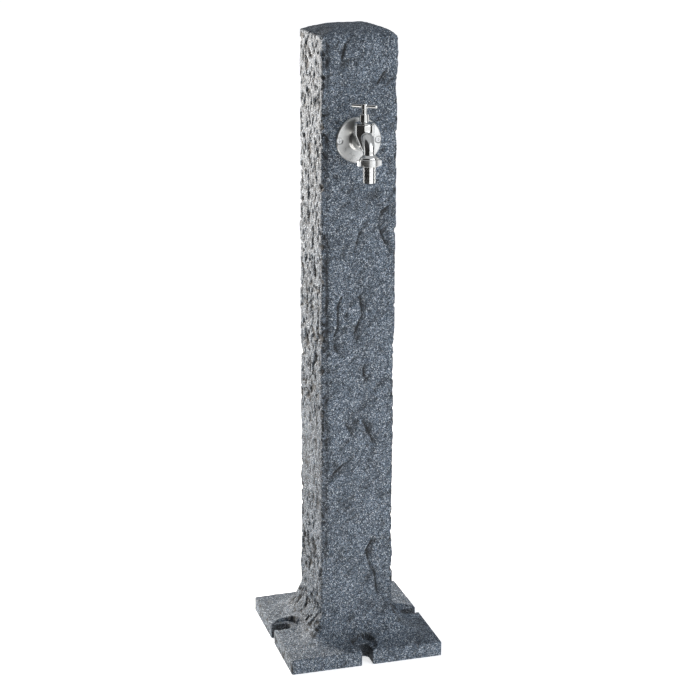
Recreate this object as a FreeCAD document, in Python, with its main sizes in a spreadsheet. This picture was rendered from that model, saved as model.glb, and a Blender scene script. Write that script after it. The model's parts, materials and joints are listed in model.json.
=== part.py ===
import FreeCAD, Part
import Sketcher

import math
import os
import re

# Garden water post: a hollow stone-look post on a slotted foot, a lever-less tap with
# a T-bar spindle on its front face, and the supply line inside it.
# Millimetres. Origin at the middle of the foot's underside, +Z up, front face towards -Y.
#
# The tap has a frame of its own. Its origin is where the tap's axis meets the front face;
# "ahead" is the distance out of that face, towards -Y, and "rise" the height above the axis.

SIZES = {
    # post
    "post_height": 1000, "dome_rise": 15, "column_width": 115, "column_depth": 127,
    "column_corner": 6, "wall": 4,
    # foot
    "foot_width": 250, "foot_edge": 24, "flare_width": 190, "flare_height": 30,
    "root_height": 52, "access_bore": 90,
    # fixing slots, from the middle of the foot
    "slot_width": 18, "slot_centre": 103, "recess_width": 41, "recess_floor": 26,
    # where the tap sits on the front face
    "tap_offset": -4, "tap_height": 833,
    # wall flange
    "rosette_width": 70, "rosette_rim": 2, "rosette_thick": 4, "rosette_bevel": 1.5,
    "hub_width": 28, "hub_ahead": 13, "hub_root": 2,
    "gasket_width": 66, "gasket_thick": 1.5,
    "screw_spacing": 60, "screw_width": 5, "screw_head": 8.4, "screw_length": 16,
    "screw_sunk": 1.3, "screw_play": 0.25,
    "recess_size": 1.2, "recess_reach": 4.8, "recess_depth": 1.6,
    "insert_width": 9, "insert_length": 10, "boss_width": 15, "boss_length": 10,
    # tap body
    "tail_width": 20.9, "tail_length": 22, "neck_width": 22, "neck_ahead": 32,
    "spindle_ahead": 30, "spout_ahead": 56.5,
    "barrel_width": 30, "barrel_foot": 12, "barrel_top": 28.5, "cone_foot": 1, "cone_width": 20,
    "arch_radius": 20, "arch_rise": -9, "spout_width": 17, "spout_foot": -13,
    "throat_inset": 0.4,
    "water_bore": 10, "chamber_width": 22, "chamber_floor": 6.5, "seat_top": 8.5, "seat_width": 14,
    "outlet_thread": 26.4, "outlet_top": -16.5, "outlet_end": -24,
    # bonnet and gland
    "washer_thick": 0.5, "bonnet_width": 29.4, "bonnet_flange": 3, "bonnet_shank": 9.5,
    "bonnet_cone": 17, "gland_neck": 12, "gland_neck_length": 5,
    "gland_width": 14.2, "gland_length": 11, "gland_cap": 2.5, "packing_thick": 3.5,
    # valve and spindle
    "disc_width": 17, "disc_thick": 2.5, "disc_washer": 16, "disc_washer_thick": 3,
    "stud_width": 3, "nut_width": 8, "nut_thick": 2.5, "stem_width": 5, "stem_length": 7,
    "thread_width": 10, "thread_length": 8.5, "rod_width": 8, "head_width": 9.5,
    "head_foot": 50, "head_length": 8, "bar_rise": 54.5, "bar_width": 5, "bar_length": 40,
    "bar_turn": -42, "bar_bevel": 0.6,
    # hose union
    "tail_gasket_thick": 1.6, "collar_width": 25.5, "collar_thick": 1.8, "tail_bore": 13,
    "barb_width": 19.6, "barb_waist": 18.4, "barb_pitch": 5.8, "barb_slope": 4.2,
    "barb_land": 1.2, "tail_neck": 18.6, "tail_reach": 25,
    "union_width": 30, "union_lip": 1.6, "union_length": 10.5,
    "lug_span": 36.5, "lug_width": 10, "lug_length": 7.5,
    # supply line
    "hose_width": 19, "hose_bore": 13, "bend_radius": 12, "pipe_width": 14, "pipe_bore": 9,
    "pipe_barb": 13, "barb_length": 26, "pipe_collar": 18.5, "pipe_collar_thick": 3,
    "joint_washer": 2, "swivel_flats": 24, "swivel_lip": 2, "swivel_reach": 10,
    "locknut_flats": 30, "locknut_thick": 6,
    "supply_ahead": -45, "inlet_depth": 20, "sway_top": 620, "sway_foot": 330,
    "clamp_thick": 0.8, "clamp_height": 9, "clamp_box": 8, "clamp_box_length": 12,
    "clamp_inset": 5,
    # inlet through the rear wall
    "inlet_height": 85, "inlet_thread": 26.44, "inlet_length": 13, "inlet_shank": 18,
    "inlet_flange": 38, "inlet_flange_thick": 4, "inlet_bore": 16, "inlet_socket_depth": 12,
    "inlet_spigot": 11, "inlet_collar": 25, "inlet_seal_thick": 2,
    "inlet_nut_flats": 36, "inlet_nut_thick": 6,
    # clearances, all on the diameter
    "running": 0.1, "thread_play": 0.2, "pass_play": 0.6, "push_play": 0.04,
}

doc = FreeCAD.newDocument("water_post")
sheet = doc.addObject("Spreadsheet::Sheet", "Sizes")
for row, (name, value) in enumerate(SIZES.items(), start=1):
    sheet.set("A%d" % row, name)
    sheet.set("B%d" % row, str(value))
    sheet.setAlias("B%d" % row, name)
doc.recompute()

X_AXIS = FreeCAD.Vector(1, 0, 0)
Y_AXIS = FreeCAD.Vector(0, 1, 0)
Z_AXIS = FreeCAD.Vector(0, 0, 1)
UPRIGHT = FreeCAD.Rotation()
FORWARD = FreeCAD.Rotation(X_AXIS, 90)      # an axis along +Z turned to -Y
BACKWARD = FreeCAD.Rotation(X_AXIS, -90)    # an axis along +Z turned to +Y
ORIGIN_POINT = (-1, 1)
X_LINE = -1
Y_LINE = -2


def cells(expression):
    """The expression with each size's name written as its cell of the sheet."""
    def cell(match):
        word = match.group(0)
        return "Sizes." + word if word in SIZES else word
    return re.sub(r"[a-z_]+", cell, str(expression))


def value(expression):
    """The number that an expression gives now."""
    return float(sheet.evalExpression(cells(expression)))


def bind(thing, prop, expression):
    thing.setExpression(prop, cells(expression))


def place(thing, across=0, along=0, up=0, turn=UPRIGHT):
    """Put a thing at (across, along, up), three expressions, with a fixed turn."""
    thing.Placement = FreeCAD.Placement(FreeCAD.Vector(), turn)
    bind(thing, "Placement.Base.x", across)
    bind(thing, "Placement.Base.y", along)
    bind(thing, "Placement.Base.z", up)
    return thing


def place_at_tap(thing, ahead=0, rise=0, turn=UPRIGHT):
    """Put a thing on the tap's middle plane."""
    along = "-column_depth / 2 - (%s)" % ahead
    return place(thing, "tap_offset", along, "tap_height + (%s)" % rise, turn)


# Sketches

def sketch_in(body, role, label, lift=None):
    """A sketch on one of the body's origin planes, lifted off it along its normal."""
    plane = [item for item in body.Origin.OriginFeatures if item.Role == role][0]
    sketch = body.newObject("Sketcher::SketchObject", label)
    sketch.AttachmentSupport = (plane, [""])
    sketch.MapMode = "FlatFace"
    if lift is not None:
        bind(sketch, "AttachmentOffset.Base.z", lift)
    return sketch


def pin_point(sketch, edge, end, across, up):
    """Hold one end of an edge at two expressions; a plain 0 puts it on the axis."""
    for axis, expression, kind in ((Y_LINE, across, "DistanceX"), (X_LINE, up, "DistanceY")):
        if str(expression) == "0":
            sketch.addConstraint(Sketcher.Constraint("PointOnObject", edge, end, axis))
            continue
        held = Sketcher.Constraint(kind, *ORIGIN_POINT, edge, end, value(expression))
        number = sketch.addConstraint(held)
        bind(sketch, "Constraints[%d]" % number, expression)


def draw_outline(sketch, points):
    """A closed outline of straight edges through the points, each a pair of expressions."""
    corners = [FreeCAD.Vector(value(across), value(up), 0) for across, up in points]
    first = sketch.GeometryCount
    count = len(points)
    for step in range(count):
        edge = Part.LineSegment(corners[step], corners[(step + 1) % count])
        sketch.addGeometry(edge, False)
    for step in range(count):
        after = first + (step + 1) % count
        sketch.addConstraint(Sketcher.Constraint("Coincident", first + step, 2, after, 1))
    for step, (across, up) in enumerate(points):
        pin_point(sketch, first + step, 1, across, up)


def draw_rectangle(sketch, width, depth):
    half_width = "(%s) / 2" % width
    half_depth = "(%s) / 2" % depth
    draw_outline(sketch, [
        ("-" + half_width, "-" + half_depth), (half_width, "-" + half_depth),
        (half_width, half_depth), ("-" + half_width, half_depth)])


def draw_circle(sketch, diameter):
    """A circle about the sketch's own origin."""
    ring = Part.Circle(FreeCAD.Vector(), Z_AXIS, value(diameter) / 2)
    edge = sketch.addGeometry(ring, False)
    sketch.addConstraint(Sketcher.Constraint("Coincident", edge, 3, *ORIGIN_POINT))
    number = sketch.addConstraint(Sketcher.Constraint("Diameter", edge, value(diameter)))
    bind(sketch, "Constraints[%d]" % number, diameter)


# Solids

def turned(label, profile):
    """A body of revolution about its own Z axis, from (radius, height) expressions."""
    body = doc.addObject("PartDesign::Body", label)
    sketch = sketch_in(body, "XZ_Plane", label + "_profile")
    draw_outline(sketch, profile)
    spin = body.newObject("PartDesign::Revolution", label + "_turn")
    spin.Profile = sketch
    spin.ReferenceAxis = (sketch, ["V_Axis"])
    spin.Angle = 360
    return body


def ring(label, width, bore, thick):
    """A plain washer, its lower face at its origin."""
    outer = "(%s) / 2" % width
    inner = "(%s) / 2" % bore
    return turned(label, [(inner, 0), (outer, 0), (outer, thick), (inner, thick)])


def rod(label, width, length):
    """A cylinder along +Z from its origin."""
    solid = doc.addObject("Part::Cylinder", label)
    bind(solid, "Radius", "(%s) / 2" % width)
    bind(solid, "Height", length)
    return solid


def taper(label, foot_width, top_width, length):
    """A cone along +Z from its origin."""
    solid = doc.addObject("Part::Cone", label)
    bind(solid, "Radius1", "(%s) / 2" % foot_width)
    bind(solid, "Radius2", "(%s) / 2" % top_width)
    bind(solid, "Height", length)
    return solid


def block(label, length, width, height):
    """A box from its origin along +X, +Y and +Z."""
    solid = doc.addObject("Part::Box", label)
    bind(solid, "Length", length)
    bind(solid, "Width", width)
    bind(solid, "Height", height)
    return solid


def hexagon(label, flats, length):
    solid = doc.addObject("Part::Prism", label)
    solid.Polygon = 6
    bind(solid, "Circumradius", "(%s) / sqrt(3)" % flats)
    bind(solid, "Height", length)
    return solid


def quarter_bend(label, bend, width):
    """A quarter of a torus about +Z, from +X to +Y."""
    solid = doc.addObject("Part::Torus", label)
    bind(solid, "Radius1", bend)
    bind(solid, "Radius2", "(%s) / 2" % width)
    solid.Angle3 = 90
    return solid


def joined(label, solids):
    fuse = doc.addObject("Part::MultiFuse", label)
    fuse.Shapes = solids
    return fuse


def cut(label, base, tool):
    result = doc.addObject("Part::Cut", label)
    result.Base = base
    result.Tool = tool
    return result


def grouped(label, solids):
    group = doc.addObject("Part::Compound", label)
    group.Links = solids
    return group


# Post

def post_form(label, inset):
    """The post's outline as one solid, every face moved in by inset."""
    body = doc.addObject("PartDesign::Body", label)
    width = "column_width - 2 * (%s)" % inset
    depth = "column_depth - 2 * (%s)" % inset
    crown = "post_height - (%s)" % inset

    plan = sketch_in(body, "XY_Plane", label + "_plan", inset)
    draw_rectangle(plan, width, depth)
    column = body.newObject("PartDesign::Pad", label + "_column")
    column.Profile = plan
    bind(column, "Length", "post_height - 2 * (%s)" % inset)
    doc.recompute()

    upright = []
    for number, edge in enumerate(column.Shape.Edges, start=1):
        if abs(edge.tangentAt(edge.FirstParameter).z) > 0.99:
            upright.append("Edge%d" % number)
    corners = body.newObject("PartDesign::Fillet", label + "_corners")
    corners.Base = (column, upright)
    bind(corners, "Radius", "max(column_corner - (%s); 1)" % inset)
    doc.recompute()

    # The crown is cut by two cylinders, one across each width of the column.
    for role, span in (("XZ_Plane", width), ("YZ_Plane", depth)):
        before = body.Shape.Volume
        arch = sketch_in(body, role, label + "_arch_" + role[:2])
        draw_crown(arch, "(%s) / 2" % span, crown)
        crown_cut = body.newObject("PartDesign::Pocket", label + "_crown_" + role[:2])
        crown_cut.Profile = arch
        crown_cut.Type = "ThroughAll"
        crown_cut.Midplane = True
        doc.recompute()
        assert body.Shape.Volume < before

    foot_width = "foot_width - 2 * (%s)" % inset
    foot_top = "foot_edge - (%s)" % inset
    foot_plan = sketch_in(body, "XY_Plane", label + "_foot_plan", inset)
    draw_rectangle(foot_plan, foot_width, foot_width)
    foot = body.newObject("PartDesign::Pad", label + "_foot")
    foot.Profile = foot_plan
    bind(foot, "Length", "foot_edge - 2 * (%s)" % inset)

    # The foot's top rises in two straight slopes to the column.
    flare_width = "flare_width - 2 * (%s)" % inset
    steps = [
        (foot_width, foot_width, foot_top),
        (flare_width, flare_width, "flare_height - (%s)" % inset),
        (width, depth, "root_height - (%s)" % inset)]
    sections = []
    for number, (across, along, lift) in enumerate(steps):
        section = sketch_in(body, "XY_Plane", "%s_slope_%d" % (label, number), lift)
        draw_rectangle(section, across, along)
        sections.append(section)
    flare = body.newObject("PartDesign::AdditiveLoft", label + "_flare")
    flare.Profile = sections[0]
    flare.Sections = sections[1:]
    flare.Ruled = True
    doc.recompute()
    return body


def draw_crown(sketch, half_span, crown):
    """What lies above the crown's arc, which drops dome_rise from the middle to each side."""
    reach = "(%s) + 1" % half_span
    roof = "(%s) + dome_rise" % crown
    rise = "(dome_rise * pow((%s) / (%s); 2))" % (reach, half_span)
    arc_foot = "(%s) - %s" % (crown, rise)
    left = FreeCAD.Vector(-value(reach), value(arc_foot), 0)
    middle = FreeCAD.Vector(0, value(crown), 0)
    right = FreeCAD.Vector(value(reach), value(arc_foot), 0)
    curve = Part.Arc(left, middle, right)
    high_left = FreeCAD.Vector(left.x, value(roof), 0)
    high_right = FreeCAD.Vector(right.x, value(roof), 0)
    sketch.addGeometry(curve, False)
    sketch.addGeometry(Part.LineSegment(right, high_right), False)
    sketch.addGeometry(Part.LineSegment(high_right, high_left), False)
    sketch.addGeometry(Part.LineSegment(high_left, left), False)
    # An arc is kept anticlockwise, so over the top it starts at the right.
    for end_of, end, start_of, start in ((0, 1, 1, 1), (1, 2, 2, 1), (2, 2, 3, 1), (3, 2, 0, 2)):
        meet = Sketcher.Constraint("Coincident", end_of, end, start_of, start)
        sketch.addConstraint(meet)
    pin_point(sketch, 1, 1, reach, arc_foot)
    pin_point(sketch, 2, 1, reach, roof)
    pin_point(sketch, 3, 1, "-(%s)" % reach, roof)
    pin_point(sketch, 3, 2, "-(%s)" % reach, arc_foot)
    radius = "(pow(%s; 2) + pow(%s; 2)) / (2 * %s)" % ("(%s)" % reach, rise, rise)
    number = sketch.addConstraint(Sketcher.Constraint("Radius", 0, value(radius)))
    bind(sketch, "Constraints[%d]" % number, radius)


def slot_tools(side):
    """One side's fixing slot and the round recess about it."""
    turn = FreeCAD.Rotation(Z_AXIS, 90 * side)
    reach = ["slot_centre", "0", "-slot_centre", "0"]
    across = reach[side]
    along = reach[side - 1]
    round_end = rod("slot_end_%d" % side, "slot_width", "root_height")
    place(round_end, across, along, "-wall", turn)
    mouth = block("slot_mouth_%d" % side, "foot_width / 2", "slot_width", "root_height")
    beside = ["0", "slot_width / 2", "0", "-slot_width / 2"][side]
    behind = ["-slot_width / 2", "0", "slot_width / 2", "0"][side]
    place(mouth, "%s + %s" % (across, beside), "%s + %s" % (along, behind), "-wall", turn)
    recess = rod("slot_recess_%d" % side, "recess_width", "root_height")
    place(recess, across, along, "recess_floor", turn)
    return [round_end, mouth, recess]


def slot_strip(side):
    """The solid strip left in the hollow foot round one slot."""
    turn = FreeCAD.Rotation(Z_AXIS, 90 * side)
    width = "(recess_width + 2 * wall)"
    start = "(slot_centre - recess_width / 2 - wall)"
    strip = block("slot_strip_%d" % side, "foot_width / 2", width, "root_height")
    corner = [
        (start, "-%s / 2" % width), ("%s / 2" % width, start),
        ("-" + start, "%s / 2" % width), ("-%s / 2" % width, "-" + start)][side]
    return place(strip, corner[0], corner[1], 0, turn)


def column_shell():
    outer = post_form("post_outside", "0")
    hollow = post_form("post_hollow", "wall")
    cavity = cut("post_cavity", hollow, joined("slot_strips", [slot_strip(side) for side in range(4)]))
    skin = cut("post_skin", outer, cavity)
    bosses = []
    tools = []
    for side in (-1, 1):
        across = "tap_offset + %d * screw_spacing / 2" % side
        boss = rod("insert_boss_%d" % (side + 1), "boss_width", "boss_length")
        place(boss, across, "-column_depth / 2 + wall", "tap_height", BACKWARD)
        bosses.append(boss)
        pocket = rod("insert_pocket_%d" % (side + 1), "insert_width", "insert_length + wall")
        place(pocket, across, "-column_depth / 2 - wall", "tap_height", BACKWARD)
        reach = "screw_length + screw_sunk"
        relief = rod("insert_relief_%d" % (side + 1), "screw_width + pass_play", reach)
        place(relief, across, "-column_depth / 2 - wall", "tap_height", BACKWARD)
        tools.extend([pocket, relief])
    for side in range(4):
        tools.extend(slot_tools(side))
    access = rod("access_opening", "access_bore", "2 * wall")
    tools.append(place(access, 0, 0, "-wall / 2"))
    tail_hole = rod("tail_hole", "tail_width + pass_play", "3 * wall")
    tools.append(place_at_tap(tail_hole, "-2 * wall", 0, FORWARD))
    inlet_hole = rod("inlet_hole", "inlet_thread + pass_play", "3 * wall")
    tools.append(place(inlet_hole, "tap_offset", "column_depth / 2 - 2 * wall", "inlet_height", BACKWARD))
    with_bosses = joined("post_with_bosses", [skin] + bosses)
    return cut("column_shell", with_bosses, joined("post_openings", tools))


# Wall flange

def rosette_gasket():
    gasket = ring("gasket_ring", "gasket_width", "tail_width + pass_play", "gasket_thick")
    place_at_tap(gasket, 0, 0, FORWARD)
    holes = []
    for side in (-1, 1):
        hole = rod("gasket_hole_%d" % (side + 1), "screw_width + 2 * screw_play", "2 * gasket_thick")
        across = "tap_offset + %d * screw_spacing / 2" % side
        along = "-column_depth / 2 + gasket_thick / 2"
        holes.append(place(hole, across, along, "tap_height", FORWARD))
    return cut("rosette_gasket", gasket, joined("gasket_holes", holes))


SCREW_FACE = "-column_depth / 2 - gasket_thick - rosette_thick + screw_sunk"


def screw_form(label, side, play, ahead):
    """A countersunk screw's outline, its cone carried on ahead of the head's face."""
    across = "tap_offset + %d * screw_spacing / 2" % side
    front = "%s - %s" % (SCREW_FACE, ahead)
    shank = rod(label + "_shank", "screw_width + 2 * %s" % play, "screw_length + %s" % ahead)
    place(shank, across, front, "tap_height", BACKWARD)
    sink = "(screw_head - screw_width) / 2 + %s" % ahead
    mouth = "screw_head + 2 * %s + 2 * %s" % (play, ahead)
    head = taper(label + "_head", mouth, "screw_width + 2 * %s" % play, sink)
    place(head, across, front, "tap_height", BACKWARD)
    return joined(label, [shank, head])


def rosette():
    disc = turned("rosette_disc", [
        ("(tail_width + thread_play) / 2", 0),
        ("rosette_width / 2", 0),
        ("rosette_width / 2", "rosette_rim"),
        ("rosette_width / 2 - rosette_bevel", "rosette_thick"),
        ("hub_width / 2 + hub_root", "rosette_thick"),
        ("hub_width / 2", "rosette_thick + hub_root"),
        ("hub_width / 2", "hub_ahead - gasket_thick - 1"),
        ("hub_width / 2 - 1", "hub_ahead - gasket_thick"),
        ("(tail_width + thread_play) / 2", "hub_ahead - gasket_thick")])
    place_at_tap(disc, "gasket_thick", 0, FORWARD)
    sinks = [screw_form("sink_%d" % (side + 1), side, "screw_play", "screw_sunk") for side in (-1, 1)]
    return cut("rosette", disc, joined("rosette_sinks", sinks))


def flange_screws():
    screws = []
    for side in (-1, 1):
        label = "screw_%d" % (side + 1)
        blank = screw_form(label + "_blank", side, "0", "0")
        across = "tap_offset + %d * screw_spacing / 2" % side
        arms = []
        for long_side, name in ((0, "flat"), (1, "tall")):
            arm = doc.addObject("Part::Box", label + "_" + name)
            spans = ["recess_reach", "recess_size"]
            bind(arm, "Length", spans[long_side])
            bind(arm, "Height", spans[1 - long_side])
            bind(arm, "Width", "2 * recess_depth")
            left = "%s - %s / 2" % (across, spans[long_side])
            up = "tap_height - %s / 2" % spans[1 - long_side]
            place(arm, left, SCREW_FACE + " - recess_depth", up)
            arms.append(arm)
        screws.append(cut(label, blank, joined(label + "_cross", arms)))
    return grouped("flange_screws", screws)


def flange_inserts():
    inserts = []
    for side in (-1, 1):
        insert = ring("insert_%d" % (side + 1), "insert_width", "screw_width + thread_play", "insert_length")
        across = "tap_offset + %d * screw_spacing / 2" % side
        inserts.append(place(insert, across, "-column_depth / 2", "tap_height", BACKWARD))
    return grouped("flange_inserts", inserts)


# Tap body, drawn in the tap's own frame: x across, y ahead, z rise

AHEAD_TURN = FreeCAD.Rotation(X_AXIS, -90)
ARCH_TURN = FreeCAD.Rotation(FreeCAD.Vector(1, 1, 1), 120)


def tap_passage(label, width, spout_end):
    """The arch from the chamber over to the spout, and the spout down to its end."""
    arch = quarter_bend(label + "_arch", "arch_radius", width)
    place(arch, 0, "spout_ahead - arch_radius", "arch_rise", ARCH_TURN)
    spout = rod(label + "_spout", width, "arch_rise - (%s)" % spout_end)
    place(spout, 0, "spout_ahead", spout_end)
    return [arch, spout]


def tap_body():
    neck = rod("tap_neck", "neck_width", "neck_ahead - hub_ahead")
    place(neck, 0, "hub_ahead", 0, AHEAD_TURN)
    neck_end = doc.addObject("Part::Sphere", "tap_neck_end")
    bind(neck_end, "Radius", "neck_width / 2")
    place(neck_end, 0, "neck_ahead", 0)
    tail = rod("tap_tail", "tail_width", "tail_length + hub_ahead")
    place(tail, 0, "-tail_length", 0, AHEAD_TURN)
    barrel = rod("tap_barrel", "barrel_width", "barrel_top - barrel_foot")
    place(barrel, 0, "spindle_ahead", "barrel_foot")
    cone = taper("tap_cone", "cone_width", "barrel_width", "barrel_foot - cone_foot")
    place(cone, 0, "spindle_ahead", "cone_foot")

    # The throat leans from the barrel to the spout, its ends set just inside both.
    hoops = []
    for name, width, ahead, rise in (
            ("high", "barrel_width", "spindle_ahead", "barrel_foot + throat_inset"),
            ("low", "spout_width", "spout_ahead", "spout_foot - throat_inset")):
        hoop = doc.addObject("Part::Circle", "tap_hoop_" + name)
        bind(hoop, "Radius", width + " / 2 - throat_inset")
        hoops.append(place(hoop, 0, ahead, rise))
    throat = doc.addObject("Part::Loft", "tap_throat")
    throat.Sections = hoops
    throat.Solid = True

    flare_length = "spout_foot - outlet_top"
    flare = taper("tap_flare", "outlet_thread", "spout_width", flare_length)
    place(flare, 0, "spout_ahead", "outlet_top")
    outlet = rod("tap_outlet", "outlet_thread", "outlet_top - outlet_end")
    place(outlet, 0, "spout_ahead", "outlet_end")
    casting = joined("tap_casting", [neck, neck_end, tail, barrel, cone, throat, flare, outlet]
                     + tap_passage("tap_skin", "spout_width", "spout_foot"))

    inlet = rod("tap_inlet", "water_bore", "tail_length + spindle_ahead")
    place(inlet, 0, "-tail_length", 0, AHEAD_TURN)
    riser = rod("tap_riser", "water_bore", "seat_top")
    place(riser, 0, "spindle_ahead", 0)
    well = rod("tap_well", "chamber_width", "barrel_top - chamber_floor")
    place(well, 0, "spindle_ahead", "chamber_floor")
    seat = rod("tap_seat", "seat_width", "seat_top - chamber_floor")
    place(seat, 0, "spindle_ahead", "chamber_floor")
    chamber = cut("tap_chamber", well, seat)
    passage = tap_passage("tap_bore", "water_bore", "outlet_end")
    water = joined("tap_water", [inlet, riser, chamber] + passage)
    body = cut("tap_body", casting, water)
    half_turn = FreeCAD.Rotation(Z_AXIS, 180)
    return place_at_tap(body, 0, 0, half_turn)


def bonnet_washer():
    washer = ring("bonnet_washer", "bonnet_width - 1", "chamber_width + thread_play", "washer_thick")
    return place_at_tap(washer, "spindle_ahead", "barrel_top")


def bonnet():
    """The screwed-in top: threaded shank, sloping flange and the gland's threaded neck."""
    thread_bore = "(thread_width + running) / 2"
    rod_bore = "(rod_width + running) / 2"
    flange_top = "bonnet_shank + bonnet_flange"
    body = turned("bonnet", [
        (thread_bore, 0),
        ("(chamber_width - thread_play) / 2", 0),
        ("(chamber_width - thread_play) / 2", "bonnet_shank"),
        ("bonnet_width / 2", "bonnet_shank"),
        ("bonnet_width / 2", "bonnet_shank + 0.8"),
        ("bonnet_cone / 2", flange_top),
        ("gland_neck / 2", flange_top),
        ("gland_neck / 2", flange_top + " + gland_neck_length"),
        (rod_bore, flange_top + " + gland_neck_length"),
        (rod_bore, "bonnet_shank"),
        (thread_bore, "bonnet_shank")])
    return place_at_tap(body, "spindle_ahead", "barrel_top + washer_thick - bonnet_shank")


GLAND_FOOT = "barrel_top + washer_thick + bonnet_flange"


def gland_packing():
    packing = ring("gland_packing", "gland_neck", "rod_width + running", "packing_thick")
    return place_at_tap(packing, "spindle_ahead", GLAND_FOOT + " + gland_neck_length")


def gland_nut():
    body = turned("gland_nut", [
        ("(gland_neck + thread_play) / 2", 0),
        ("gland_width / 2", 0),
        ("gland_width / 2", "gland_length - 0.6"),
        ("gland_width / 2 - 0.6", "gland_length"),
        ("(rod_width + pass_play) / 2", "gland_length"),
        ("(rod_width + pass_play) / 2", "gland_length - gland_cap"),
        ("(gland_neck + thread_play) / 2", "gland_length - gland_cap")])
    return place_at_tap(body, "spindle_ahead", GLAND_FOOT)


# Valve, which rises with the spindle

def jumper_valve():
    """The loose valve: disc, the stem that guides it in the spindle and the washer's stud."""
    disc_top = "nut_thick + disc_washer_thick + disc_thick"
    body = turned("jumper_valve", [
        (0, 0),
        ("stud_width / 2", 0),
        ("stud_width / 2", "nut_thick + disc_washer_thick"),
        ("disc_width / 2", "nut_thick + disc_washer_thick"),
        ("disc_width / 2", disc_top),
        ("stem_width / 2", disc_top),
        ("stem_width / 2", disc_top + " + stem_length"),
        (0, disc_top + " + stem_length")])
    return place_at_tap(body, "spindle_ahead", "seat_top - nut_thick")


def jumper_washer():
    washer = ring("jumper_washer", "disc_washer", "stud_width + push_play", "disc_washer_thick")
    return place_at_tap(washer, "spindle_ahead", "seat_top")


def washer_nut():
    flats = hexagon("washer_nut_blank", "nut_width - 1", "nut_thick")
    bore = rod("washer_nut_bore", "stud_width + push_play", "nut_thick")
    nut = cut("washer_nut", flats, bore)
    return place_at_tap(nut, "spindle_ahead", "seat_top - nut_thick")


# Spindle

SPINDLE_FOOT = "seat_top + disc_washer_thick + disc_thick + pass_play / 2"


def spindle():
    """Threaded foot with the stem's blind bore, plain rod and the head that holds the bar."""
    head_foot = "head_foot - (%s)" % SPINDLE_FOOT
    top = "head_foot + head_length - (%s)" % SPINDLE_FOOT
    stem_bore = "(stem_width + running) / 2"
    blank = turned("spindle_blank", [
        (stem_bore, 0),
        ("thread_width / 2", 0),
        ("thread_width / 2", "thread_length"),
        ("rod_width / 2", "thread_length"),
        ("rod_width / 2", head_foot),
        ("head_width / 2", head_foot + " + 0.6"),
        ("head_width / 2", top + " - 0.8"),
        ("head_width / 2 - 0.8", top),
        (0, top),
        (0, "stem_length + 1"),
        (stem_bore, "stem_length + 1")])
    place_at_tap(blank, "spindle_ahead", SPINDLE_FOOT)
    hole = rod("spindle_cross_hole", "bar_width + push_play", "2 * head_width")
    turn = FreeCAD.Rotation(Z_AXIS, value("bar_turn")).multiply(FreeCAD.Rotation(Y_AXIS, 90))
    place_at_tap(hole, "spindle_ahead", "bar_rise", turn)
    middle = "head_width"
    bind(hole, "Placement.Base.x", "tap_offset - %s * cos(bar_turn * 1deg)" % middle)
    bind(hole, "Placement.Base.y",
         "-column_depth / 2 - spindle_ahead - %s * sin(bar_turn * 1deg)" % middle)
    return cut("spindle", blank, hole)


def t_bar():
    half = "bar_length / 2"
    bar = turned("t_bar", [
        (0, 0),
        ("bar_width / 2 - bar_bevel", 0),
        ("bar_width / 2", "bar_bevel"),
        ("bar_width / 2", "bar_length - bar_bevel"),
        ("bar_width / 2 - bar_bevel", "bar_length"),
        (0, "bar_length")])
    turn = FreeCAD.Rotation(Z_AXIS, value("bar_turn")).multiply(FreeCAD.Rotation(Y_AXIS, 90))
    place_at_tap(bar, "spindle_ahead", "bar_rise", turn)
    bind(bar, "Placement.Base.x", "tap_offset - %s * cos(bar_turn * 1deg)" % half)
    bind(bar, "Placement.Base.y",
         "-column_depth / 2 - spindle_ahead - %s * sin(bar_turn * 1deg)" % half)
    return bar


# Hose union

UNION_FOOT = "outlet_end - tail_gasket_thick - collar_thick - union_lip"


def tail_gasket():
    gasket = ring("tail_gasket", "collar_width", "tail_bore", "tail_gasket_thick")
    return place_at_tap(gasket, "spout_ahead", "outlet_end - tail_gasket_thick")


def hose_tail():
    """The barbed tail: four sloping barbs with short lands, a neck and the nut's collar."""
    profile = [("tail_bore / 2", 0), ("barb_waist / 2", 0)]
    for barb in range(4):
        foot = "%d * barb_pitch" % barb
        land = foot + " + barb_slope"
        profile.append(("barb_width / 2", land))
        profile.append(("barb_width / 2", land + " + barb_land"))
        profile.append(("barb_waist / 2", land + " + barb_land"))
        if barb < 3:
            profile.append(("barb_waist / 2", "%d * barb_pitch" % (barb + 1)))
    profile.extend([
        ("barb_waist / 2", "4 * barb_pitch"),
        ("tail_neck / 2", "4 * barb_pitch"),
        ("tail_neck / 2", "tail_reach + union_lip"),
        ("collar_width / 2", "tail_reach + union_lip"),
        ("collar_width / 2", "tail_reach + union_lip + collar_thick"),
        ("tail_bore / 2", "tail_reach + union_lip + collar_thick")])
    body = turned("hose_tail", profile)
    return place_at_tap(body, "spout_ahead", UNION_FOOT + " - tail_reach")


def union_nut():
    """A round nut with two finger lugs, an inner thread and the lip that lifts the tail."""
    outside = turned("union_outside", [
        (0, 0), ("union_width / 2 - 0.8", 0), ("union_width / 2", 0.8),
        ("union_width / 2", "union_length - 0.8"), ("union_width / 2 - 0.8", "union_length"),
        (0, "union_length")])
    lug_disc = rod("lug_disc", "lug_span", "lug_length")
    place(lug_disc, 0, 0, 0.5)
    lug_bar = block("lug_bar", "lug_span", "lug_width", "union_length")
    place(lug_bar, "-lug_span / 2", "-lug_width / 2", 0)
    lugs = doc.addObject("Part::Common", "union_lugs")
    lugs.Base = lug_disc
    lugs.Tool = lug_bar
    blank = joined("union_blank", [outside, lugs])
    thread = rod("union_thread", "outlet_thread + thread_play", "union_length")
    place(thread, 0, 0, "union_lip")
    waist = rod("union_waist", "barb_width + pass_play", "union_length")
    nut = cut("union_nut", blank, joined("union_bore", [thread, waist]))
    return place_at_tap(nut, "spout_ahead", UNION_FOOT)


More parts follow.
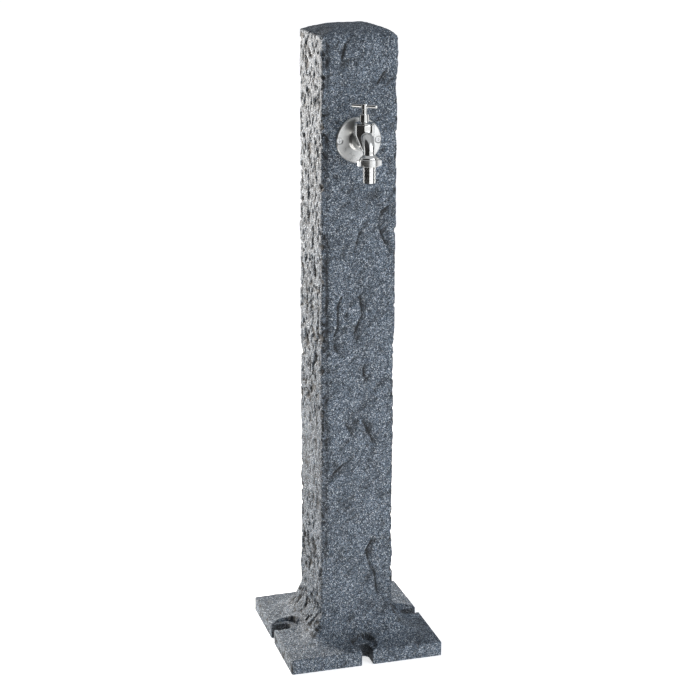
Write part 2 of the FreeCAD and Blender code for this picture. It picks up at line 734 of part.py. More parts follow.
# Supply line inside the post

def hex_ring(label, flats, bore, length):
    """A hexagon nut with a plain bore, its lower face at its origin."""
    return cut(label, hexagon(label + "_blank", flats, length), rod(label + "_bore", bore, length))


def back_nut():
    nut = hex_ring("back_nut", "locknut_flats", "tail_width + thread_play", "locknut_thick")
    return place_at_tap(nut, "-wall - locknut_thick", 0, FORWARD)


def elbow_nut():
    """The swivel nut that draws the elbow's collar onto the tap's tail."""
    length = "(swivel_reach + joint_washer + pipe_collar_thick + swivel_lip)"
    blank = hexagon("elbow_nut_blank", "swivel_flats", length)
    thread = rod("elbow_nut_thread", "tail_width + thread_play", length)
    place(thread, 0, 0, "swivel_lip")
    hole = rod("elbow_nut_hole", "pipe_width + pass_play", length)
    nut = cut("elbow_nut", blank, joined("elbow_nut_bore", [thread, hole]))
    return place_at_tap(nut, "-tail_length + swivel_reach - %s" % length, 0, FORWARD)


def elbow_washer():
    washer = ring("elbow_washer", "pipe_collar", "water_bore", "joint_washer")
    return place_at_tap(washer, "-tail_length - joint_washer", 0, FORWARD)


ELBOW_ROOT = "(-tail_length - joint_washer - pipe_collar_thick)"


def supply_elbow():
    """Collar, short run, right-angle bend and a plain hose spigot pointing down."""
    bend_start = "(supply_ahead + bend_radius)"
    solids = {}
    for kind, width, spigot in (("skin", "pipe_width", "pipe_barb"), ("bore", "pipe_bore", "pipe_bore")):
        run = rod("elbow_run_" + kind, width, "-%s - tail_length - joint_washer" % bend_start)
        place(run, 0, bend_start, 0, AHEAD_TURN)
        bend = quarter_bend("elbow_bend_" + kind, "bend_radius", width)
        place(bend, 0, bend_start, "-bend_radius", turn_to(-Y_AXIS, Z_AXIS))
        drop = rod("elbow_drop_" + kind, spigot, "barb_length")
        place(drop, 0, "supply_ahead", "-bend_radius - barb_length")
        solids[kind] = [run, bend, drop]
    collar = rod("elbow_collar", "pipe_collar", "pipe_collar_thick")
    place(collar, 0, ELBOW_ROOT, 0, AHEAD_TURN)
    elbow = cut("supply_elbow", joined("elbow_skin", [collar] + solids["skin"]),
                joined("elbow_bore", solids["bore"]))
    return place_at_tap(elbow, 0, 0, FreeCAD.Rotation(Z_AXIS, 180))


def turn_to(x_direction, y_direction):
    """The turn that takes the X and Y axes to two given directions."""
    z_direction = x_direction.cross(y_direction)
    return FreeCAD.Rotation(x_direction, y_direction, z_direction, "XYZ")


INLET_INNER = "column_depth / 2 - inlet_shank"


def inlet_elbow():
    """Spigot in the connector's socket, bend and hose spigot pointing up."""
    bend_start = "(inlet_depth + bend_radius)"
    solids = {}
    for kind, width, spigot in (("skin", "pipe_width", "pipe_barb"), ("bore", "pipe_bore", "pipe_bore")):
        run = rod("inlet_run_" + kind, width, "%s - %s" % (INLET_INNER, bend_start))
        place(run, 0, bend_start, 0, BACKWARD)
        bend = quarter_bend("inlet_bend_" + kind, "bend_radius", width)
        place(bend, 0, bend_start, "bend_radius", turn_to(-Y_AXIS, -Z_AXIS))
        rise = rod("inlet_rise_" + kind, spigot, "barb_length")
        place(rise, 0, "inlet_depth", "bend_radius")
        solids[kind] = [run, bend, rise]
    collar = rod("inlet_elbow_collar", "inlet_collar", "pipe_collar_thick")
    place(collar, 0, INLET_INNER + " - pipe_collar_thick", 0, BACKWARD)
    spigot = rod("inlet_elbow_spigot", "tail_width", "inlet_spigot")
    place(spigot, 0, INLET_INNER, 0, BACKWARD)
    spigot_bore = rod("inlet_elbow_bore", "pipe_bore", "inlet_spigot")
    place(spigot_bore, 0, INLET_INNER, 0, BACKWARD)
    skin = joined("inlet_skin", [collar, spigot] + solids["skin"])
    elbow = cut("inlet_elbow", skin, joined("inlet_bores", [spigot_bore] + solids["bore"]))
    return place(elbow, "tap_offset", 0, "inlet_height")


def inlet_connector():
    """The bulkhead piece: inner shank with a socket, flange on the outside, male thread."""
    shank = "inlet_shank + inlet_seal_thick"
    end = shank + " + inlet_flange_thick + inlet_length"
    body = turned("inlet_connector", [
        ("(tail_width + thread_play) / 2", 0),
        ("inlet_thread / 2", 0),
        ("inlet_thread / 2", shank),
        ("inlet_flange / 2", shank),
        ("inlet_flange / 2", shank + " + inlet_flange_thick - 1"),
        ("inlet_flange / 2 - 1", shank + " + inlet_flange_thick"),
        ("inlet_thread / 2", shank + " + inlet_flange_thick"),
        ("inlet_thread / 2", end),
        ("inlet_bore / 2", end),
        ("inlet_bore / 2", "inlet_socket_depth"),
        ("(tail_width + thread_play) / 2", "inlet_socket_depth")])
    return place(body, "tap_offset", INLET_INNER, "inlet_height", BACKWARD)


def inlet_seal():
    seal = ring("inlet_seal", "inlet_flange", "inlet_thread + thread_play", "inlet_seal_thick")
    return place(seal, "tap_offset", "column_depth / 2", "inlet_height", BACKWARD)


def inlet_lock_nut():
    nut = hex_ring("inlet_lock_nut", "inlet_nut_flats", "inlet_thread + thread_play", "inlet_nut_thick")
    start = "column_depth / 2 - wall - inlet_nut_thick"
    return place(nut, "tap_offset", start, "inlet_height", BACKWARD)


HOSE_TOP = "tap_height - bend_radius"
HOSE_FOOT = "inlet_height + bend_radius"
HOSE_FRONT = "-column_depth / 2 - supply_ahead"


def supply_hose():
    """A hose from the upper spigot to the lower one, swayed back by two equal arcs."""
    body = doc.addObject("PartDesign::Body", "supply_hose")
    front = value(HOSE_FRONT)
    back = value("inlet_depth")
    sway = value("sway_top - sway_foot")
    shift = back - front
    radius = (sway ** 2 + shift ** 2) / (4 * shift)
    lean = math.asin(sway / 2 / radius)
    top = FreeCAD.Vector(front, value(HOSE_TOP), 0)
    foot = FreeCAD.Vector(back, value(HOSE_FOOT), 0)
    high = FreeCAD.Vector(front, value("sway_top"), 0)
    low = FreeCAD.Vector(back, value("sway_foot"), 0)
    middle = (high + low) * 0.5
    half = radius * (1 - math.cos(lean / 2))
    drop = radius * math.sin(lean / 2)
    bulge_high = FreeCAD.Vector(front + half, high.y - drop, 0)
    bulge_low = FreeCAD.Vector(back - half, low.y + drop, 0)

    path = sketch_in(body, "YZ_Plane", "hose_path")
    path.addGeometry(Part.LineSegment(top, high), False)
    path.addGeometry(Part.Arc(high, bulge_high, middle), False)
    path.addGeometry(Part.Arc(middle, bulge_low, low), False)
    path.addGeometry(Part.LineSegment(low, foot), False)
    # Arcs are kept anticlockwise: the upper one starts at its top, the lower one at its foot.
    path.addConstraint(Sketcher.Constraint("Tangent", 0, 2, 1, 1))
    path.addConstraint(Sketcher.Constraint("Tangent", 1, 2, 2, 2))
    path.addConstraint(Sketcher.Constraint("Tangent", 2, 1, 3, 1))
    path.addConstraint(Sketcher.Constraint("Equal", 1, 2))
    path.addConstraint(Sketcher.Constraint("Vertical", 3))
    pin_point(path, 0, 1, HOSE_FRONT, HOSE_TOP)
    pin_point(path, 0, 2, HOSE_FRONT, "sway_top")
    pin_point(path, 3, 1, "inlet_depth", "sway_foot")
    number = path.addConstraint(Sketcher.Constraint("DistanceY", *ORIGIN_POINT, 3, 2, foot.y))
    bind(path, "Constraints[%d]" % number, HOSE_FOOT)

    section = sketch_in(body, "XY_Plane", "hose_section")
    bind(section, "AttachmentOffset.Base.y", HOSE_FRONT)
    bind(section, "AttachmentOffset.Base.z", HOSE_TOP)
    draw_circle(section, "hose_width")
    draw_circle(section, "hose_bore")
    pipe = body.newObject("PartDesign::AdditivePipe", "hose_pipe")
    pipe.Profile = section
    pipe.Spine = path
    doc.recompute()
    length = 2 * radius * lean + (top.y - high.y) + (low.y - foot.y)
    print("hose: bend radius %.0f, length %.1f" % (radius, length))
    area = math.pi * (value("hose_width") ** 2 - value("hose_bore") ** 2) / 4
    print("hose: volume %.0f, section times length %.0f" % (body.Shape.Volume, area * length))
    return place(body, "tap_offset")


def hose_clamps():
    """A worm-drive band on each end of the hose."""
    clamps = []
    for name, along, up in (
            ("top", HOSE_FRONT, HOSE_TOP + " - clamp_inset - clamp_height"),
            ("foot", "inlet_depth", HOSE_FOOT + " + clamp_inset")):
        band = rod("clamp_band_" + name, "hose_width + 2 * clamp_thick", "clamp_height")
        housing = block("clamp_box_" + name, "clamp_box_length", "clamp_box", "clamp_height")
        place(housing, "-clamp_box_length / 2", "hose_width / 2", 0)
        bore = rod("clamp_bore_" + name, "hose_width", "clamp_height")
        clamp = cut("clamp_" + name, joined("clamp_blank_" + name, [band, housing]), bore)
        clamps.append(place(clamp, "tap_offset", along, up))
    return grouped("hose_clamps", clamps)


NODES = [
    column_shell(), rosette_gasket(), rosette(), flange_screws(), flange_inserts(),
    tap_body(), bonnet_washer(), bonnet(), gland_packing(), gland_nut(),
    jumper_valve(), jumper_washer(), washer_nut(), spindle(), t_bar(),
    tail_gasket(), hose_tail(), union_nut(),
    back_nut(), elbow_nut(), elbow_washer(), supply_elbow(), supply_hose(), hose_clamps(),
    inlet_elbow(), inlet_connector(), inlet_seal(), inlet_lock_nut(),
]

doc.recompute()
for item in doc.Objects:
    if "Invalid" in item.State or "Error" in item.State:
        raise RuntimeError("%s failed: %s" % (item.Label, item.State))
for node in NODES:
    if node.Shape.isNull() or not node.Shape.isValid():
        raise RuntimeError("%s has no valid shape" % node.Label)

os.makedirs("parts", exist_ok=True)
for node in NODES:
    node.Shape.exportStep("parts/%s.step" % node.Label)
    box = node.Shape.BoundBox
    print("%-18s %9.0f mm3  x %7.1f %7.1f  y %7.1f %7.1f  z %7.1f %7.1f" % (
        node.Label, node.Shape.Volume, box.XMin, box.XMax, box.YMin, box.YMax, box.ZMin, box.ZMax))
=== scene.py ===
# %% [markdown]
# # A stone-look garden water post
#
# The real thing is a rotomoulded plastic post that imitates rough split granite, with a
# polished steel tap on its front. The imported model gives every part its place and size,
# so this script adds only what the eye needs: the stone's relief, the finishes and the
# light. Lengths are worked out in millimetres, and turned to metres as a mesh is made.

# %% Load the fixed frame
import json
import math
import bmesh
import bpy
import numpy as np
from mathutils import Matrix, Vector


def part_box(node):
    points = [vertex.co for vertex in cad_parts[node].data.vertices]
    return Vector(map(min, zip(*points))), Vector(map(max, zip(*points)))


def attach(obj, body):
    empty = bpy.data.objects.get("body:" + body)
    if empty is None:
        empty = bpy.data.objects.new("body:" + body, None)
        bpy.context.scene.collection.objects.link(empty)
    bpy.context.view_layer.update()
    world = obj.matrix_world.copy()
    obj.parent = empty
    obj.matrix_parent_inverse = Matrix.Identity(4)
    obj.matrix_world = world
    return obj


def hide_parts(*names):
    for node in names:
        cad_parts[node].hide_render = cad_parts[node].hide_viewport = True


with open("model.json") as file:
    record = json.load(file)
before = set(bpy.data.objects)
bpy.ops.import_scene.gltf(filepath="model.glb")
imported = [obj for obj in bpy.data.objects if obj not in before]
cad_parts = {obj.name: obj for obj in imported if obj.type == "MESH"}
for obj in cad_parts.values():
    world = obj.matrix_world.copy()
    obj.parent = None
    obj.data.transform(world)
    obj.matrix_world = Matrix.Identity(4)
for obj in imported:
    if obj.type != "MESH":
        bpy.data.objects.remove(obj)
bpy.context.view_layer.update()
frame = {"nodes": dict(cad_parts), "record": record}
nodes = frame["nodes"]
MM = 0.001


# %% [markdown]
# ## The places that the model gives
#
# The column's front wall, the foot, the top and the tap's axis are read from the frame, so
# the stone can't drift from the solid underneath it. The rosette's middle is the tap's
# axis, and the connector's middle is the inlet's. No node's box gives the column's width,
# because the shell's box is the foot's, so that one is a named number.

# %% Measure the frame
def box_mm(name):
    """The node's two corners, in millimetres."""
    low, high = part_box(name)
    return np.array(low) / MM, np.array(high) / MM


shell_low, shell_high = box_mm("column_shell")
rosette_low, rosette_high = box_mm("rosette")
gasket_low, gasket_high = box_mm("rosette_gasket")
inlet_low, inlet_high = box_mm("inlet_connector")
FOOT = shell_high[0]                        # half the square foot
CROWN = shell_high[2]                       # the post's top
FRONT = gasket_high[1]                      # the front face's plane
HALF_DEPTH = -FRONT
HALF_WIDTH = 57.5                           # half the column's width
TAP = ((gasket_low[0] + gasket_high[0]) / 2, (rosette_low[2] + rosette_high[2]) / 2)
INLET = ((inlet_low[0] + inlet_high[0]) / 2, (inlet_low[2] + inlet_high[2]) / 2)
print("foot %.1f crown %.1f front %.1f tap %s inlet %s" % (FOOT, CROWN, FRONT, TAP, INLET))


# %% [markdown]
# ## The camera
#
# The post is seen from a little above and a little to its left, through a long lens, so
# its sides stay nearly parallel. The camera is set by its heading, its pitch and a slight
# roll, and its three axes are written straight into its matrix. Those values, the lens and
# the place were solved by another program.

# %% Place the camera
def look(heading, pitch, roll):
    """The camera's right, up and forward directions.

    Forward is turned by the heading about the upright and dipped by the pitch. Right is
    level, up is their cross product, and the roll turns right and up about forward.
    """
    ahead = np.array([-math.sin(heading) * math.cos(pitch),
                      math.cos(heading) * math.cos(pitch), -math.sin(pitch)])
    level = np.array([math.cos(heading), math.sin(heading), 0.0])
    upright = np.cross(level, ahead)
    right = level * math.cos(roll) + upright * math.sin(roll)
    return right, np.cross(right, ahead), ahead


right, up, ahead = look(math.radians(-16.65), math.radians(16.571), math.radians(0.335))
lens = bpy.data.cameras.new("studio_camera")
lens.lens = 87.17
lens.sensor_width = 36.0
lens.clip_end = 400.0
camera = bpy.data.objects.new("studio_camera", lens)
bpy.context.scene.collection.objects.link(camera)
stand = (-0.72969, -2.44391, 1.25064)
camera.matrix_world = Matrix([[right[i], up[i], -ahead[i], stand[i]] for i in range(3)]
                             + [[0, 0, 0, 1]])
bpy.context.scene.camera = camera
print("right", right.round(4), "up", up.round(4), "ahead", ahead.round(4))


# %% [markdown]
# ## Noise for rough stone
#
# Split stone is rough at every scale: broad swells, chips as wide as a finger, and grit.
# Each scale is one layer of value noise. A random number sits at every corner of a cubic
# lattice, and points between are blended smoothly. The number comes from a hash of the
# corner's whole-number place, so it is the same in every run and needs no seed state.

# %% Value noise on a lattice
def corner_value(i, j, k, seed):
    """A number from -1 to 1 for each lattice corner, by mixing its bits."""
    mixed = (i.astype(np.uint32) * np.uint32(374761393)
             + j.astype(np.uint32) * np.uint32(668265263)
             + k.astype(np.uint32) * np.uint32(2246822519)
             + np.uint32(seed) * np.uint32(3266489917))
    mixed = (mixed ^ (mixed >> np.uint32(13))) * np.uint32(1274126177)
    mixed = (mixed ^ (mixed >> np.uint32(16))) * np.uint32(2654435761)
    mixed = mixed ^ (mixed >> np.uint32(15))
    return mixed.astype(np.float64) / 2147483648.0 - 1.0


def noise(place, size, seed):
    """Smooth noise from -1 to 1 at points (..., 3).

    size is the lattice spacing in millimetres, one number or three. The eight corners
    around a point are blended with the weight 3t^2 - 2t^3 along each axis.
    """
    scaled = place / np.asarray(size, float) + 1000.0 + 0.37 * seed
    whole = np.floor(scaled)
    part = scaled - whole
    part = part * part * (3.0 - 2.0 * part)
    cell = whole.astype(np.int64)
    total = 0.0
    for corner in range(8):
        step = [(corner >> axis) & 1 for axis in range(3)]
        weight = 1.0
        for axis in range(3):
            weight = weight * (part[..., axis] if step[axis] else 1.0 - part[..., axis])
        total = total + weight * corner_value(
            cell[..., 0] + step[0], cell[..., 1] + step[1], cell[..., 2] + step[2], seed)
    return total


def smooth(value, low, high):
    """0 below low, 1 above high and 3t^2 - 2t^3 between."""
    part = np.clip((value - low) / (high - low), 0.0, 1.0)
    return part * part * (3.0 - 2.0 * part)


probe = noise(np.random.default_rng(1).uniform(-500, 500, (20000, 3)), 10.0, 3)
print("noise mean %.3f spread %.3f" % (probe.mean(), probe.std()))


# %% [markdown]
# ## The cracks and chips of the faces
#
# A mould taken from split stone has fine fractures: a short groove with the face on one
# side a little lower than on the other. Each is a line of a few points on its face. The
# depth falls away with the distance from the line as a bell curve does. The points are
# millimetres across the face and up it. All the front's, and the first two lines of the
# side's, were worked out by another program and pasted here, not chosen by hand.

# %% Fractures on a face
FRONT_CRACKS = [
    [(32, 691), (40, 673)], [(0, 693), (-6, 673)],
    [(-28, 593), (-34, 579), (-34, 546), (-40, 532)], [(-40, 516), (-35, 505)],
    [(1, 591), (4, 562), (-8, 533)], [(8, 477), (8, 464)], [(44, 730), (33, 722)],
    [(-20, 385), (-10, 369)], [(7, 390), (24, 354)], [(-22, 323), (-40, 307)],
    [(22, 186), (14, 170), (20, 145), (28, 131), (32, 99)],
    [(-24, 973), (-30, 954)], [(35, 932), (25, 915)],
]
SIDE_CRACKS = [[(-34, 454), (-34, 343)], [(-23, 172), (-23, 154)],
               [(20, 610), (14, 560)], [(5, 800), (-4, 760)]]


def fracture(across, height, lines):
    """The depth in millimetres that the lines take out of a face.

    The groove is 1.6 times the bell curve of the distance over 1.4, and the step is 0.7
    times a wider bell curve on the lines' left side alone.
    """
    depth = np.zeros_like(across)
    for line in lines:
        nearest = np.full_like(across, 1e9)
        side = np.zeros_like(across)
        for (x0, z0), (x1, z1) in zip(line[:-1], line[1:]):
            along_x, along_z = x1 - x0, z1 - z0
            share = ((across - x0) * along_x + (height - z0) * along_z) / (
                along_x ** 2 + along_z ** 2)
            share = np.clip(share, 0.0, 1.0)
            gap_x = across - x0 - share * along_x
            gap_z = height - z0 - share * along_z
            gap = np.hypot(gap_x, gap_z)
            closer = gap < nearest
            turned = np.sign(along_x * gap_z - along_z * gap_x)
            side = np.where(closer, turned, side)
            nearest = np.where(closer, gap, nearest)
        depth = depth + 1.6 * np.exp(-(nearest / 1.4) ** 2)
        depth = depth + np.where(side > 0, 0.7 * np.exp(-(nearest / 12.0) ** 2), 0.0)
    return depth


# %% [markdown]
# ## How far the skin stands from the solid
#
# The relief is a depth along the face's own outward direction. The front and the back are
# fairly flat, as if sawn and then bush-hammered. The two sides are rough-hewn: they carry
# small pits, wider bites and ridges. Round the wall flange and the inlet the real mould is
# flat, or the flange would not seal, so the relief fades out there.

# %% The relief of the faces
DEEPEST = 3.5                               # the relief's limits, in millimetres
PROUDEST = 3.2
LEFT_EXTRA = 2.0                            # more room on the left, which is rougher
SEALED = -0.3                               # the skin's depth round the flange and inlet


def relief(place, outward):
    """The relief in millimetres, the painted shade from 0 to 1 in pits and low spots, and how hewn
    the face is.
    """
    x, y, z = place[..., 0], place[..., 1], place[..., 2]
    hewn = smooth(np.abs(outward[..., 0]), 0.35, 0.75)
    left = smooth(-outward[..., 0], 0.35, 0.75)
    right = hewn - left
    level = smooth(outward[..., 2], 0.5, 0.9)
    broad = noise(place, 70.0, 1) * 1.2
    medium = noise(place, 19.0, 2) * (0.7 + 0.2 * hewn)
    chips = noise(place, (9.0, 9.0, 12.0), 3) * (0.45 + 0.1 * hewn)
    grit = noise(place, 4.6, 4) * 0.42 + noise(place, 2.7, 5) * (0.26 + 0.3 * hewn)
    pits = smooth(noise(place, (7.0, 7.0, 9.0), 6), 0.38, 0.5)
    pits = pits + 0.9 * smooth(noise(place, (4.4, 4.4, 5.6), 7), 0.36, 0.48)
    bites = 0.8 * smooth(noise(place, (16.0, 14.0, 22.0), 11), 0.5, 0.62)
    ridges = 0.5 * noise(place, (9.0, 9.0, 30.0), 8) + noise(place, (16.0, 16.0, 22.0), 10)
    calm = np.exp(-((z - 310.0) / 80.0) ** 2)
    pits = pits * (1.0 - 0.6 * calm)
    bites = bites * (1.0 - 0.6 * calm)
    ridges = ridges * (1.0 + smooth(250.0 - z, 0.0, 60.0))
    slanted = np.stack([x + z, y, z - x], axis=-1)
    scars = smooth(noise(slanted, (22.0, 40.0, 7.0), 12), 0.28, 0.5) * (1.0 - hewn)
    scars = scars * (1.0 - level)
    front = smooth(-outward[..., 1], 0.6, 0.9)
    cracks = front * fracture(x, z, FRONT_CRACKS)
    cracks = cracks + hewn * fracture(y, z, SIDE_CRACKS) * smooth(z, 90.0, 120.0)
    channel = front * np.exp(-((x + HALF_WIDTH - 5.5) / 4.0) ** 2)
    channel = channel * (0.8 + 0.5 * noise(place, 40.0, 9)) * smooth(z, 110.0, 200.0)
    spread = 3.5 * right * np.exp(-np.maximum(z - 60.0, 0.0) / 90.0)
    depth = (-0.6 + broad + medium + chips + grit - cracks - 2.0 * channel - 0.8 * scars
             + hewn * (1.3 - 2.6 * (pits + bites) + 0.45 * ridges) * (1.0 - 0.6 * level)
             + 2.2 * left + spread)
    # Painted shade: the colour is darkened in low spots, pits, bites, cracks, the channel and the
    # scars, and less round the flange and the inlet.
    painted_shade = 0.5 * (0.25 - chips - grit) + hewn * (0.95 * pits + 0.4 * bites) + 0.6 * cracks
    painted_shade = painted_shade + 0.65 * channel + 0.3 * scars
    near_tap = np.hypot(x - TAP[0], z - TAP[1]) + np.where(y < 0, 0.0, 900.0)
    near_inlet = np.hypot(x - INLET[0], z - INLET[1]) + np.where(y > 0, 0.0, 900.0)
    keep = smooth(near_tap, 33.0, 44.0) * smooth(near_inlet, 20.0, 28.0)
    depth = SEALED + (depth - SEALED) * keep
    painted_shade = 0.1 + (painted_shade - 0.1) * (0.35 + 0.65 * keep)
    depth = np.clip(depth, -DEEPEST, PROUDEST + LEFT_EXTRA * left)
    return depth, np.clip(painted_shade, 0.0, 1.0), hewn * keep


# %% [markdown]
# ## Turning a grid of points into a mesh
#
# Each stone piece is a grid: one count runs round the post and wraps, the other runs
# along the skin. Four neighbours make a face, and where the rows shrink to a pole a fan
# of triangles closes the shell. numpy makes the whole list of faces at once.

# %% A mesh from a wrapped grid
def grid_faces(rows, around, wrap_rows):
    """Quads (i, j), (i, j+1), (i+1, j+1), (i+1, j), with j wrapping round."""
    last = rows if wrap_rows else rows - 1
    row, column = np.meshgrid(np.arange(last), np.arange(around), indexing="ij")
    below = row * around
    above = ((row + 1) % rows) * around
    beside = (column + 1) % around
    return np.stack([below + column, below + beside, above + beside, above + column],
                    axis=-1).reshape(-1, 4)


def outward_directions(points, wrap_rows):
    """The unit normal at each grid point.

    It is the cross product of the step round the grid and the step along it.
    """
    around = np.roll(points, -1, axis=1) - np.roll(points, 1, axis=1)
    if wrap_rows:
        along = np.roll(points, -1, axis=0) - np.roll(points, 1, axis=0)
    else:
        along = np.gradient(points, axis=0)
    normal = np.cross(around, along)
    return normal / np.maximum(np.linalg.norm(normal, axis=-1, keepdims=True), 1e-9)


def make_mesh(name, points, faces, marks, sharp=60.0):
    """A smooth-shaded object at the origin from points in millimetres, with its marks."""
    mesh = bpy.data.meshes.new(name)
    mesh.from_pydata((points * MM).tolist(), [], faces)
    mesh.validate()
    for mark, values in marks.items():
        mesh.attributes.new(mark, "FLOAT", "POINT").data.foreach_set("value", values)
    mesh.polygons.foreach_set("use_smooth", [True] * len(mesh.polygons))
    mesh.set_sharp_from_angle(angle=math.radians(sharp))
    piece = bpy.data.objects.new(name, mesh)
    bpy.context.scene.collection.objects.link(piece)
    print(name, "points", len(points), "faces", len(mesh.polygons),
          "low", points.min(0).round(1), "high", points.max(0).round(1))
    return piece


# %% [markdown]
# ## The path round the column
#
# In plan the column is a rectangle with small round corners. Four quarter circles joined
# by straight runs make it. The path is walked at an even pace, so the grid's cells
# are all alike, and each point keeps the direction that its wall faces.

# %% A rounded rectangle walked evenly
def rounded_rectangle(half_x, half_y, radius, count):
    """Points and outward directions, anticlockwise from the middle of the front.

    Each corner is its centre plus the radius times (cos a, sin a), a running 90 degrees.
    """
    turn = np.linspace(0.0, math.pi / 2, 13)
    starts = np.array([-math.pi / 2, 0.0, math.pi / 2, math.pi])
    angles = (starts[:, None] + turn).ravel()
    centres = np.repeat([(1, -1), (1, 1), (-1, 1), (-1, -1)], len(turn), axis=0)
    facing = np.stack([np.cos(angles), np.sin(angles)], axis=1)
    track = centres * (half_x - radius, half_y - radius) + radius * facing
    track = np.vstack([[0.0, -half_y], track, [0.0, -half_y]])
    facing = np.vstack([[0.0, -1.0], facing, [0.0, -1.0]])
    walked = np.concatenate([[0.0], np.cumsum(np.linalg.norm(np.diff(track, axis=0), axis=1))])
    at = np.linspace(0.0, walked[-1], count, endpoint=False)
    point = np.stack([np.interp(at, walked, track[:, i]) for i in range(2)], axis=1)
    face = np.stack([np.interp(at, walked, facing[:, i]) for i in range(2)], axis=1)
    return point, face / np.linalg.norm(face, axis=1, keepdims=True)


# %% [markdown]
# ## The column's skin
#
# The side is the path carried straight up. The crown is the same path shrinking to a
# point while it rises: height = rise * (1 - k^p)^(1/q), where k is how much of the path is
# left. A q near 1 leaves an edge at the shoulder, and a higher q rounds it into the wall.
# Which way the wall faces blends the rise and q: the rise is least at the left shoulder,
# less at the right than at the front and back, and q is halved at the left.
# The skin then turns in at the bottom and lines the column, 4 mm inside, to a second pole.

# %% Build the stone column
AROUND = 262
SIDE_ROWS = 348
CROWN_ROWS = 24
COLUMN_FOOT = 60.0
CROWN_ROOM = 0.9                            # left above the crown for its relief
WALL = 4.0
COLUMN_CORNER = 7.0
LINING_CORNER = 3.0


def column_surface():
    """Rows of points from the bottom of the skin to near the crown's pole."""
    plan, facing = rounded_rectangle(HALF_WIDTH, HALF_DEPTH, COLUMN_CORNER, AROUND)
    left = smooth(-facing[:, 0], 0.1, 0.9)
    right = smooth(facing[:, 0], 0.1, 0.9)
    rise = 25.0 - 10.5 * left - 6.0 * right
    sharp = 2.2 - 1.1 * left
    heights = np.linspace(0.0, 1.0, SIDE_ROWS)[:, None]
    shoulder = CROWN - CROWN_ROOM - rise
    side_z = COLUMN_FOOT + (shoulder - COLUMN_FOOT) * heights
    side = np.concatenate([np.broadcast_to(plan, (SIDE_ROWS, AROUND, 2)),
                           side_z[..., None]], axis=2)
    share = np.linspace(0.0, 1.0, CROWN_ROWS + 1)[1:-1, None]
    remain = np.cos(share * math.pi / 2) ** 0.75
    lift = (1.0 - remain ** 2.3) ** (1.0 / sharp)
    crown = np.concatenate([plan * remain[..., None],
                            (shoulder + rise * lift)[..., None]], axis=2)
    return np.concatenate([side, crown], axis=0)


base = column_surface()
normal = outward_directions(base, False)
depth, painted_shade, hewn = relief(base, normal)
settled = smooth(base[..., 2], CROWN - 4.0, CROWN - CROWN_ROOM)
depth = depth * (1.0 - 0.3 * settled)
skin = base + normal * depth[..., None]
skin[..., 2] = np.minimum(skin[..., 2], CROWN)
top = np.array([[0.0, 0.0, float(skin[-1, :, 2].mean())]])

lining_plan, _ = rounded_rectangle(HALF_WIDTH - WALL, HALF_DEPTH - WALL, LINING_CORNER, AROUND)
lining_z = np.array([970.0, 960.0, 700.0, 400.0, 200.0, COLUMN_FOOT])
lining_scale = np.array([0.6, 1.0, 1.0, 1.0, 1.0, 1.0])
lining = np.concatenate([lining_scale[:, None, None] * lining_plan[None],
                         np.broadcast_to(lining_z[:, None, None], (6, AROUND, 1))], axis=2)
rows = np.concatenate([lining, skin], axis=0)
flat_rows = rows.reshape(-1, 3)
points = np.vstack([flat_rows, [[0.0, 0.0, 972.0]], top])
quads = grid_faces(len(rows), AROUND, False)
ring = np.arange(AROUND)
after = (ring + 1) % AROUND
last_row = (len(rows) - 1) * AROUND
faces = (quads.tolist()
         + np.stack([after, ring, np.full(AROUND, len(flat_rows))], axis=1).tolist()
         + np.stack([last_row + ring, last_row + after,
                     np.full(AROUND, len(flat_rows) + 1)], axis=1).tolist())
# The painted shade mark: the skin's comes from the relief, the lining and the inner pole get none,
# and the top pole a little.
inside = np.zeros(lining.shape[:2]).ravel()
marks = {"shade_paint": np.concatenate([inside, painted_shade.ravel(), [0.0, 0.1]]),
         "hewn": np.concatenate([inside, hewn.ravel(), [0.0, 0.0]])}
stone_column = make_mesh("stone_column", points, faces, marks)


# %% [markdown]
# ## The foot's outline
#
# The foot is a square slab with an open slot in the middle of each side, for the ground
# anchors. One eighth of its outline, from a corner to the bottom of a slot, is enough:
# mirrored it gives a side, and turned four times the whole. The same eighth of the
# column's plan is walked with the same count of steps, so each point on the outline has
# its partner at the column's wall, and the slab is the sheet stretched between them.

# %% One eighth of the outline and its partner
SLOT = 9.0                                  # half the slot's width
SLOT_CENTRE = 103.0
STEPS = (43, 10, 13)                        # along the edge, into the slot, round its end
ARRIVE = np.cumsum((0,) + STEPS)


def eighth_outline():
    """Points from the corner to the slot's end, as (along the side, outward)."""
    bend = np.linspace(0.0, math.pi / 4, 5)
    corner = np.stack([-(FOOT - 3.0) - 3.0 * np.sin(math.pi / 4 - bend),
                       FOOT - 3.0 + 3.0 * np.cos(math.pi / 4 - bend)], axis=1)
    bend = np.linspace(0.0, math.pi / 2, 5)
    mouth = np.stack([-SLOT - 2.0 + 2.0 * np.sin(bend), FOOT - 2.0 + 2.0 * np.cos(bend)], axis=1)
    bend = np.linspace(0.0, math.pi / 2, 14)
    end = np.stack([-SLOT * np.cos(bend), SLOT_CENTRE - SLOT * np.sin(bend)], axis=1)
    track = np.vstack([corner, mouth, end])
    key = np.concatenate([np.linspace(0.0, 1.0, 5), ARRIVE[1] - 1 + np.linspace(0.0, 2.0, 5),
                          np.linspace(ARRIVE[2], ARRIVE[3], 14)])
    return key, track


def eighth_wall(half_along, half_out, radius):
    """The partner points on a rounded rectangle's wall."""
    bend = np.linspace(0.0, math.pi / 4, 5)
    corner = np.stack([-(half_along - radius) - radius * np.sin(math.pi / 4 - bend),
                       half_out - radius + radius * np.cos(math.pi / 4 - bend)], axis=1)
    track = np.vstack([corner, [[-22.0, half_out], [-11.0, half_out], [0.0, half_out]]])
    key = np.concatenate([np.linspace(0.0, 3.0, 5), ARRIVE[1:]])
    return key, track


